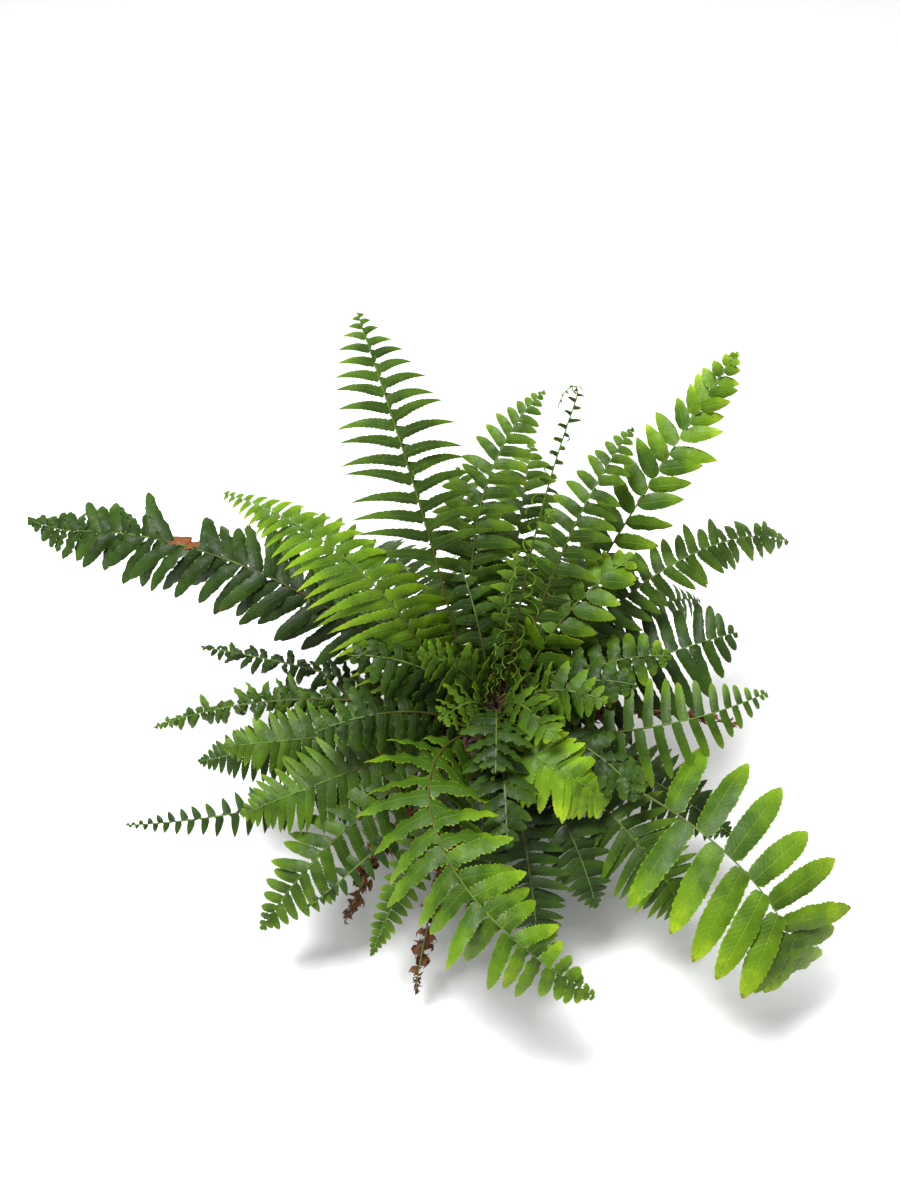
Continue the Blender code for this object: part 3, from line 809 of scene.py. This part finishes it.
# %% Rules of the pot
POT_HEIGHT = 118 * MM
POT_FOOT_RADIUS = 46 * MM
POT_RIM_RADIUS = 65 * MM
POT_WALL = 1.4 * MM
RIM_BAND = 12 * MM
RIM_STEP = 1.6 * MM
SOIL_BELOW_RIM = 3 * MM
SOIL_DOME = 7 * MM
CROWN_RADIUS = 46 * MM
CROWN_DOME = 8 * MM
CROWN_EDGE = 1 * MM
GAP = 0.3 * MM


def wall_radius(height):
    """Outer radius of the pot's tapered wall."""
    taper = (POT_RIM_RADIUS - RIM_STEP - POT_FOOT_RADIUS) / POT_HEIGHT
    return POT_FOOT_RADIUS + taper * height


def inner_radius(height):
    """Inside radius of the pot, which opens a little more in the rim band."""
    band_foot = POT_HEIGHT - RIM_BAND
    in_band = max(0.0, (height - band_foot) / RIM_BAND)
    low = wall_radius(min(height, band_foot))
    return low + (POT_RIM_RADIUS - low) * in_band - POT_WALL


def soil_top(radius):
    """Height of the mix, a low dome."""
    edge = POT_HEIGHT - SOIL_BELOW_RIM
    return edge + SOIL_DOME * (1 - (radius / inner_radius(edge)) ** 2)


def crown_top(radius):
    """Height of the crown, a mound on the mix."""
    return soil_top(radius) + GAP + CROWN_EDGE + CROWN_DOME * (1 - (radius / CROWN_RADIUS) ** 2)


print(f"the crown's top is {crown_top(0) / MM:.1f} mm up")

# %% [markdown]
# ## Stems
#
# Each stem is a chain of short edges. Every station carries the stem's direction, the blade's
# side and up directions, the length of a pinna there and its share of the full width. The
# frond recipe reads all of that, so the shape of a stem is decided in one place only.
# A leaf turns its upper face to the light. So past its foot each blade is turned about its
# stem, most of the way from level to facing the light.

# %% Draw the stems and grow the fronds
SPINE_STEPS = 72
CURL_SHARE = 0.12
FOOT_CLEARANCE = 1.4 * MM
STEM_RADIUS = 1.15 * MM
STEM_TIP_RADIUS = 0.32 * MM
LAST_PINNA = 0.992
TIP_SHARE = 0.14                    # least length of a pinna half way along, and half this at the tip
WIDTH_POWER = 0.42                  # a short pinna is wider for its length
LIGHT = Vector((0.0, -0.69, 0.72))  # the side that the blades turn to
LIGHT_PULL = 3.0
TURNED_BY = 0.2                     # share of the stem over which a blade turns


def blade_side(along, level, share):
    """The blade's side direction. Past the foot, its upper face turns to the light."""
    up = along.cross(level)
    lit = LIGHT - along * LIGHT.dot(along)
    up = up + lit * (LIGHT_PULL * min(1.0, share / TURNED_BY))
    return up.normalized().cross(along)


def stations(frond):
    """Points along a stem, each with its direction, side and up."""
    swing = radians(frond.heading)
    seat_at = frond.seat * MM
    point = Vector((seat_at * cos(swing), seat_at * sin(swing), crown_top(seat_at) + FOOT_CLEARANCE))
    for step in range(SPINE_STEPS + 1):
        share = step / SPINE_STEPS
        late = max(0.0, (share - 1 + CURL_SHARE) / CURL_SHARE)
        pitch = radians(frond.rise + (frond.fall - frond.rise) * share ** frond.bend
                        + frond.curl * late)
        swing = radians(frond.heading + frond.turn * share)
        along = Vector((cos(pitch) * cos(swing), cos(pitch) * sin(swing), sin(pitch)))
        level = Vector((-sin(swing), cos(swing), 0))
        side = blade_side(along, level, share)
        if step:
            point = point + along * (frond.length * MM / SPINE_STEPS)
        yield share, point, along, side


def blade_share(share, taper):
    """Length of the pinnae along the frond, with the longest as 1."""
    least = TIP_SHARE * (1.5 - share)
    return min(1.0, 0.6 + 1.6 * share) * max(least, (1 - share ** taper) ** 0.9)


def stem_mesh(frond):
    """The stem as a chain of edges that carries what the recipe reads."""
    line = bmesh.new()
    arrows = {key: line.verts.layers.float_vector.new(key) for key in ("along", "side", "up")}
    sizes = {key: line.verts.layers.float.new(key) for key in ("share", "reach", "wide")}
    last = None
    for share, point, along, side in stations(frond):
        vert = line.verts.new(point)
        vert[arrows["along"]] = along
        vert[arrows["side"]] = side
        vert[arrows["up"]] = along.cross(side)
        vert[sizes["share"]] = share
        long = blade_share(share, LEAVES[frond.leaf].taper)
        vert[sizes["reach"]] = frond.reach * MM * long
        vert[sizes["wide"]] = long ** WIDTH_POWER / 2
        if last:
            line.edges.new((last, vert))
        last = vert
    return mesh_of(line, frond.name + "_stem")


KEPT_VALUES = {"out", "across", "place", "luck", "dead", "stem", "under"}


def grow_frond(frond, number):
    """One frond with its pinnae, in place of the plain one."""
    leaf = LEAVES[frond.leaf]
    values = {
        "Pinnae": pinnae[leaf.outline], "Material": leaf_finishes[frond.tone],
        "Seed": 10 * number, "Pairs": round(frond.length * (1 - frond.bare) / leaf.spacing),
        "First": frond.bare, "Last": LAST_PINNA, "Crowding": leaf.crowding,
        "Width": leaf.width * MM, "Lean": radians(leaf.lean),
        "Lean More": radians(leaf.lean_more), "Dip": radians(leaf.dip),
        "Bow": radians(leaf.bow), "Camber": leaf.camber, "Wave": leaf.wave,
        "Twist": radians(leaf.twist), "Sickle": leaf.sickle, "Unlike": leaf.unlike,
        "Stem Radius": STEM_RADIUS, "Tip Radius": STEM_TIP_RADIUS, "Dead At": frond.dead_at,
        "Sag": leaf.sag, "Swing": radians(frond.swing),
    }
    grown = run_recipe(frond.name + "_grown", stem_mesh(frond), grow, values)
    for name in [a.name for a in grown.data.attributes if a.data_type.startswith("FLOAT")]:
        if name not in KEPT_VALUES and name != "position":
            grown.data.attributes.remove(grown.data.attributes[name])
    return seat(grown, frond.name, "leaf_" + frond.tone, 45)


faces = [grow_frond(frond, number) for number, frond in enumerate(FRONDS)]
print(f"the fronds have {sum(faces)} faces in all, and the largest {max(faces)}")

# %% [markdown]
# ## Scattered bits
#
# Bark on the mix and scales on the crown are the same idea: many small bits on an upward
# surface, each turned its own way. One recipe serves both. It gives every bit a random value,
# so that a finish can make one darker than the next.

# %% A recipe for scattering
SCATTER_INPUTS = (
    ("Surface", "Geometry"), ("Bits", "Collection"), ("Material", "Material"), ("Seed", "Int"),
    ("Density", "Float"), ("Small", "Float"), ("Large", "Float"), ("Tilt", "Float"),
)
UPWARD = 0.5                        # the least rise of a face that takes bits


def scatter_recipe():
    tree, given = new_recipe("scatter", SCATTER_INPUTS)
    seed = given["Seed"]
    facing = node(tree, "GeometryNodeInputNormal").parts()[2]
    inputs = {"Mesh": given["Surface"], "Selection": facing.do("GREATER_THAN", UPWARD),
              "Density": given["Density"], "Seed": seed}
    spots = tree.nodes.new("GeometryNodeDistributePointsOnFaces")
    for name, value in inputs.items():
        plug(tree, spots.inputs[name], value)
    points = Wire(tree, spots.outputs["Points"])
    points = store(tree, points, "luck", chance(tree, 0.0, 1.0, seed + 1))
    size = chance(tree, given["Small"], given["Large"], seed + 2)
    laid = picked(tree, points, given["Bits"], Rotation=Wire(tree, spots.outputs["Rotation"]),
                  Scale=arrow_of(tree, X=size, Y=size, Z=size))
    spin = arrow_of(tree, X=chance(tree, -1.0, 1.0, seed + 3) * given["Tilt"],
                    Y=chance(tree, -1.0, 1.0, seed + 4) * given["Tilt"],
                    Z=chance(tree, -pi, pi, seed + 5))
    laid = node(tree, "GeometryNodeRotateInstances", {"Instances": laid, "Rotation": spin})
    end_recipe(tree, joined(tree, laid, given["Surface"]), given["Material"])
    return tree


scatter = scatter_recipe()
print(f"the scatter recipe has {len(scatter.nodes)} nodes")

# %% [markdown]
# ## Turned shapes
#
# The pot, the mix and the crown are all turned: an outline swept round the upright axis. Short
# arcs in the outline round off the rim and the foot, as a mould does, because a thin plastic
# wall has no sharp edge. The outline runs from the axis, out and down, and back to the axis.
# Spin would do the sweep, but it doesn't number its faces alike on every run, and scattered
# bits follow those numbers. So each point makes a ring, and the rings are joined in order.

# %% Sweep an outline round the axis
TURN_STEPS = 96
SAME_SPOT = 0.02 * MM               # points of an outline closer than this are one point


def turned_mesh(name, outline):
    """A closed mesh of (radius, height) points swept round Z."""
    shape = bmesh.new()
    spots = outline[:1]
    for spot in outline[1:]:
        if dist(spot, spots[-1]) > SAME_SPOT:
            spots.append(spot)
    rings = []
    for radius, height in spots:
        steps = TURN_STEPS if radius else 1
        angles = [2 * pi * k / TURN_STEPS for k in range(steps)]
        rings.append([shape.verts.new((radius * cos(a), radius * sin(a), height)) for a in angles])
    for ring, following in zip(rings, rings[1:]):
        for k in range(TURN_STEPS):
            corners = [ring[k % len(ring)], ring[(k + 1) % len(ring)],
                       following[(k + 1) % len(following)], following[k % len(following)]]
            shape.faces.new(list(dict.fromkeys(corners)))
    bmesh.ops.recalc_face_normals(shape, faces=shape.faces)
    return mesh_of(shape, name)


def arc(middle, radius, start, end, points=7):
    """Points of (radius, height) round a middle, from one angle to another in degrees."""
    for step in range(points):
        angle = radians(start + (end - start) * step / (points - 1))
        yield middle[0] + radius * cos(angle), middle[1] + radius * sin(angle)


print(f"turned shapes have {TURN_STEPS} facets round")

# %% [markdown]
# ## The nursery pot
#
# A black pot of thin moulded polypropylene: a rim band with a rolled lip, a tapered wall with
# two faint rings where pots rest in each other, a foot ring, and drain holes in the raised
# part of the floor. A boolean cuts the holes. The leaves hide nearly all of it, so the
# shape keeps to what such pots have in common.

# %% Mould the pot
FOOT_RING_WIDTH = 6 * MM
FOOT_RECESS = 3 * MM
CENTRE_PAD_RADIUS = 16 * MM
DRAIN_HOLES = 8
DRAIN_RADIUS = 4 * MM
DRAIN_CIRCLE = 28 * MM
LIP = 0.7 * MM
FOOT_ROUND = 1.5 * MM
RING_HEIGHTS = (34 * MM, 72 * MM)
RING_DEPTH = 0.5 * MM
RING_HALF = 1.2 * MM


def pot_outline():
    floor_top = FOOT_RECESS + POT_WALL
    band_foot = POT_HEIGHT - RIM_BAND
    yield 0, POT_WALL
    yield CENTRE_PAD_RADIUS - POT_WALL, POT_WALL
    yield CENTRE_PAD_RADIUS, floor_top
    foot = inner_radius(floor_top)
    yield from arc((foot - FOOT_ROUND, floor_top + FOOT_ROUND), FOOT_ROUND, -90, 0)
    yield inner_radius(band_foot), band_foot
    yield from arc((POT_RIM_RADIUS - LIP, POT_HEIGHT - LIP), LIP, 180, 0, 9)
    yield from arc((POT_RIM_RADIUS - 0.5 * MM, band_foot + 0.5 * MM), 0.5 * MM, 0, -90)
    yield wall_radius(band_foot) + 0.4 * MM, band_foot
    yield wall_radius(band_foot), band_foot - 0.6 * MM
    for height in reversed(RING_HEIGHTS):
        yield wall_radius(height + RING_HALF), height + RING_HALF
        yield wall_radius(height) - RING_DEPTH, height
        yield wall_radius(height - RING_HALF), height - RING_HALF
    yield from arc((POT_FOOT_RADIUS - FOOT_ROUND, FOOT_ROUND), FOOT_ROUND, 0, -90)
    yield POT_FOOT_RADIUS - FOOT_RING_WIDTH, 0
    yield POT_FOOT_RADIUS - FOOT_RING_WIDTH - 1 * MM, FOOT_RECESS
    yield CENTRE_PAD_RADIUS + 1 * MM, FOOT_RECESS
    yield CENTRE_PAD_RADIUS, 0
    yield 0, 0


def pot_finish():
    """Black moulded plastic, a little dusty and scuffed."""
    material, tree, shader = new_finish("moulded_black")
    dust = noise(tree, 60, 5.0, 0.6)
    specks = noise(tree, 900, 2.0)
    colour = mixed(tree, dust.above(0.35, 0.8), (0.012, 0.012, 0.012), (0.045, 0.041, 0.036))
    colour = mixed(tree, specks.above(0.62, 0.75) * 0.4, colour, (0.11, 0.09, 0.07))
    coat(tree, shader, colour, dust * 0.35 + specks * 0.1 + 0.22)
    bumped(tree, shader, noise(tree, 1500) + dust * 0.5, 0.25, 0.15 * MM)
    return material


def drilled(piece):
    """Cuts the ring of drain holes."""
    cutter_shape = bmesh.new()
    for number in range(DRAIN_HOLES):
        angle = 2 * pi * (number + 0.5) / DRAIN_HOLES
        middle = Vector((DRAIN_CIRCLE * cos(angle), DRAIN_CIRCLE * sin(angle), FOOT_RECESS))
        bmesh.ops.create_cone(cutter_shape, cap_ends=True, segments=32, radius1=DRAIN_RADIUS,
                              radius2=DRAIN_RADIUS, depth=8 * MM,
                              matrix=Matrix.Translation(middle))
    cutter = bpy.data.objects.new("drain_cutter", mesh_of(cutter_shape, "drain_cutter"))
    bpy.context.scene.collection.objects.link(cutter)
    cut = piece.modifiers.new("drains", "BOOLEAN")
    cut.object = cutter
    seen = piece.evaluated_get(bpy.context.evaluated_depsgraph_get())
    made = bpy.data.meshes.new_from_object(seen)
    piece.modifiers.remove(cut)
    piece.data = made
    bpy.data.objects.remove(cutter)


pot = bpy.data.objects.new("moulded_pot", turned_mesh("moulded_pot", list(pot_outline())))
bpy.context.scene.collection.objects.link(pot)
pot.data.materials.append(pot_finish())
drilled(pot)
pot_faces = seat(pot, "nursery_pot", "pot", 35)
print(f"the pot has {pot_faces} faces")

# %% [markdown]
# ## The mix
#
# Potting mix is peat and bark crumbs. The dome gets a rough top from noise, and the scatter
# recipe lays bark chips on it. A chip is a small ball with its points pushed about and
# flattened, so no two of the four kinds are alike.

# %% Fill the pot with mix
MIX_RINGS = 26
MIX_ROUGH = 1.1 * MM
CHIP_KINDS = 4


def lumpy(mesh, amount, scale, lowest):
    """Moves the points above a height up and down with noise."""
    for vert in mesh.vertices:
        if vert.co.z > lowest:
            vert.co.z += amount * field.noise(vert.co * scale)
            vert.co.z += amount * 0.5 * field.noise(vert.co * scale * 3.1)


def chip_mesh(name, seed):
    """One chip of bark, about 1 across."""
    luck = Random(seed)
    shape = bmesh.new()
    bmesh.ops.create_icosphere(shape, subdivisions=1, radius=0.5)
    for vert in shape.verts:
        vert.co *= luck.uniform(0.7, 1.2)
        vert.co.z *= 0.45
        vert.co.y *= 0.7
    return mesh_of(shape, name)


def mix_finish():
    """Damp peat with paler bark."""
    material, tree, shader = new_finish("peat_and_bark")
    crumbs = noise(tree, 420, 6.0, 0.65)
    luck = value_of(tree, "luck")
    colour = mixed(tree, crumbs.above(0.35, 0.7), (0.012, 0.007, 0.004), (0.060, 0.034, 0.018))
    colour = mixed(tree, luck.above(0.45, 1.0) * 0.6, colour, (0.150, 0.080, 0.038))
    coat(tree, shader, colour, crumbs * 0.2 + 0.75)
    bumped(tree, shader, crumbs + noise(tree, 1600) * 0.5, 0.8, 0.6 * MM)
    return material


def mix_outline():
    edge = inner_radius(POT_HEIGHT - SOIL_BELOW_RIM) - GAP
    for ring in range(MIX_RINGS + 1):
        radius = edge * ring / MIX_RINGS
        yield radius, soil_top(radius)
    low = FOOT_RECESS + POT_WALL + GAP
    yield inner_radius(POT_HEIGHT - RIM_BAND) - GAP, POT_HEIGHT - RIM_BAND
    yield inner_radius(low) - GAP, low + 2 * MM
    yield inner_radius(low) - 2 * MM, low
    yield 0, low


mix_mesh = turned_mesh("mix", list(mix_outline()))
lumpy(mix_mesh, MIX_ROUGH, 260, POT_HEIGHT - SOIL_BELOW_RIM - 0.1 * MM)
chips = collection_of("chips", [chip_mesh(f"chip_{k}", k) for k in range(CHIP_KINDS)])
mix = run_recipe("bark_mix", mix_mesh, scatter, {
    "Bits": chips, "Material": mix_finish(), "Seed": 3, "Density": 70000.0,
    "Small": 1.5 * MM, "Large": 6.0 * MM, "Tilt": 0.6,
})
mix_faces = seat(mix, "potting_mix", "mix", 50)
print(f"the mix has {mix_faces} faces")

# %% [markdown]
# ## The crown
#
# The fronds rise from a short upright stem, the crown, which is wrapped in dry brown scales
# and the stubs of old fronds. It is a lumpy dome; the scatter recipe gives it its scales, and
# the stubs are tapered pegs, cut off at an angle, in two loose rings.

# %% Dress the crown
CROWN_RINGS = 16
CROWN_ROUGH = 1.4 * MM
SCALE_KINDS = 3
SCALE_ROWS = 5
SCALE_THICKNESS = 0.03              # for a length of 1
STUBS = 17


def scale_mesh(name, seed):
    """One papery scale, 1 long, that lifts off the surface."""
    luck = Random(seed)
    shape = bmesh.new()
    lift = luck.uniform(0.35, 0.75)
    rows = []
    for k in range(SCALE_ROWS + 1):
        out = k / SCALE_ROWS
        wide = 0.16 * sin(pi * (0.12 + 0.88 * out)) + 0.01
        top = lift * out + 0.15 * out * out
        low = top - SCALE_THICKNESS
        corners = ((-wide, top), (wide, top), (wide, low), (-wide, low))
        rows.append([shape.verts.new((x, out, height)) for x, height in corners])
    for near, far in zip(rows, rows[1:]):
        for k in range(4):
            shape.faces.new((near[k - 1], near[k], far[k], far[k - 1]))
    shape.faces.new(rows[0])
    shape.faces.new(rows[-1])
    bmesh.ops.recalc_face_normals(shape, faces=shape.faces)
    return mesh_of(shape, name)


def crown_finish():
    """Dry brown scales, some paler."""
    material, tree, shader = new_finish("brown_scales")
    fibres = noise(tree, 500, 5.0, 0.6)
    luck = value_of(tree, "luck")
    colour = mixed(tree, fibres.above(0.3, 0.75), (0.022, 0.011, 0.005), (0.095, 0.048, 0.018))
    colour = mixed(tree, luck.above(0.5, 1.0) * 0.7, colour, (0.210, 0.110, 0.045))
    coat(tree, shader, colour, fibres * 0.3 + 0.55)
    bumped(tree, shader, fibres, 0.7, 0.5 * MM)
    return material


def crown_outline():
    for ring in range(CROWN_RINGS + 1):
        radius = (CROWN_RADIUS - 0.5 * MM) * ring / CROWN_RINGS
        yield radius, crown_top(radius)
    yield CROWN_RADIUS - 0.5 * MM, soil_top(CROWN_RADIUS) - 1 * MM
    yield 0, soil_top(CROWN_RADIUS) - 1 * MM


def add_stub(shape, luck, angle, radius):
    """One old stalk, cut off at a slant."""
    tall = luck.uniform(5, 13) * MM
    thick = luck.uniform(1.1, 1.8) * MM
    foot = Vector((radius * cos(angle), radius * sin(angle), crown_top(radius)))
    tip = Vector((cos(angle), sin(angle), luck.uniform(0.9, 2.2))).normalized()
    turn = tip.to_track_quat("Z", "Y").to_matrix().to_4x4()
    place = Matrix.Translation(foot + tip * (tall / 2 - 1 * MM)) @ turn
    made = bmesh.ops.create_cone(shape, cap_ends=True, segments=9, radius1=thick * 1.25,
                                 radius2=thick, depth=tall, matrix=place)
    slant = luck.uniform(-0.6, 0.6)
    for vert in made["verts"]:
        if (vert.co - foot).dot(tip) > tall / 2:
            vert.co += tip * slant * (vert.co - foot).dot(turn.col[0].to_3d())


def crown_mesh():
    mesh = turned_mesh("crown", list(crown_outline()))
    lumpy(mesh, CROWN_ROUGH, 140, soil_top(CROWN_RADIUS))
    shape = bmesh.new()
    shape.from_mesh(mesh)
    luck = Random(5)
    for number in range(STUBS):
        angle = 2 * pi * number / STUBS + luck.uniform(-0.15, 0.15)
        add_stub(shape, luck, angle, (20 if number % 2 else 33) * MM + luck.uniform(-3, 3) * MM)
    shape.to_mesh(mesh)
    shape.free()
    return mesh


scales = collection_of("scales", [scale_mesh(f"scale_{k}", k) for k in range(SCALE_KINDS)])
crown = run_recipe("scaly_crown", crown_mesh(), scatter, {
    "Bits": scales, "Material": crown_finish(), "Seed": 7, "Density": 90000.0,
    "Small": 4.0 * MM, "Large": 8.5 * MM, "Tilt": 0.35,
})
crown_faces = seat(crown, "rhizome_crown", "crown", 50)
print(f"the crown has {crown_faces} faces")

# %% [markdown]
# ## The floor and the light
#
# A pale floor, a white room all round and two lamps above give the soft light of a studio.
# The lamps are wide, and the fill is wider than the key, so that the shadows between the
# fronds stay soft.

# %% The floor and the light
FLOOR_SIZE = 8.0


def floor_finish():
    material, tree, shader = new_finish("pale_floor")
    colour = mixed(tree, noise(tree, 3), (0.92, 0.92, 0.92), (0.95, 0.95, 0.95))
    coat(tree, shader, colour, 0.9)
    shader.inputs["Specular IOR Level"].default_value = 0.1
    return material


bpy.ops.mesh.primitive_plane_add(size=FLOOR_SIZE)
floor = bpy.context.object
floor.name = "floor"
floor.data.materials.append(floor_finish())
floor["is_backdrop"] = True

world = bpy.data.worlds.new("studio")
world.use_nodes = True
world.node_tree.nodes["Background"].inputs[0].default_value = (1.0, 1.0, 1.0, 1.0)
world.node_tree.nodes["Background"].inputs[1].default_value = 0.36
bpy.context.scene.world = world


def soft_box(name, place, size, power):
    """A square lamp that looks at the middle of the plant."""
    lamp = bpy.data.lights.new(name, "AREA")
    lamp.size = size
    lamp.energy = power
    holder = bpy.data.objects.new(name, lamp)
    holder.location = place
    aim = Vector((0, 0, 0.15)) - Vector(place)
    holder.rotation_euler = aim.to_track_quat("-Z", "Y").to_euler()
    bpy.context.scene.collection.objects.link(holder)


soft_box("key", (-0.5, -0.1, 2.1), 0.8, 76)
soft_box("fill", (1.2, 0.9, 2.2), 1.6, 14)
bpy.context.scene.view_settings.view_transform = "Standard"
print(f"the floor is {FLOOR_SIZE:.0f} m wide, and {len(bpy.data.lights)} lamps light it")

# %% [markdown]
# ## Sizes
#
# The box of the plain model, kept from the start, and the box of the dressed one are printed
# side by side.

# %% Write down the sizes and finish
dressed_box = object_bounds()
[[list(corner) for corner in box] for box in (plain_box, dressed_box)]
print("plain and dressed boxes:", plain_box, dressed_box)
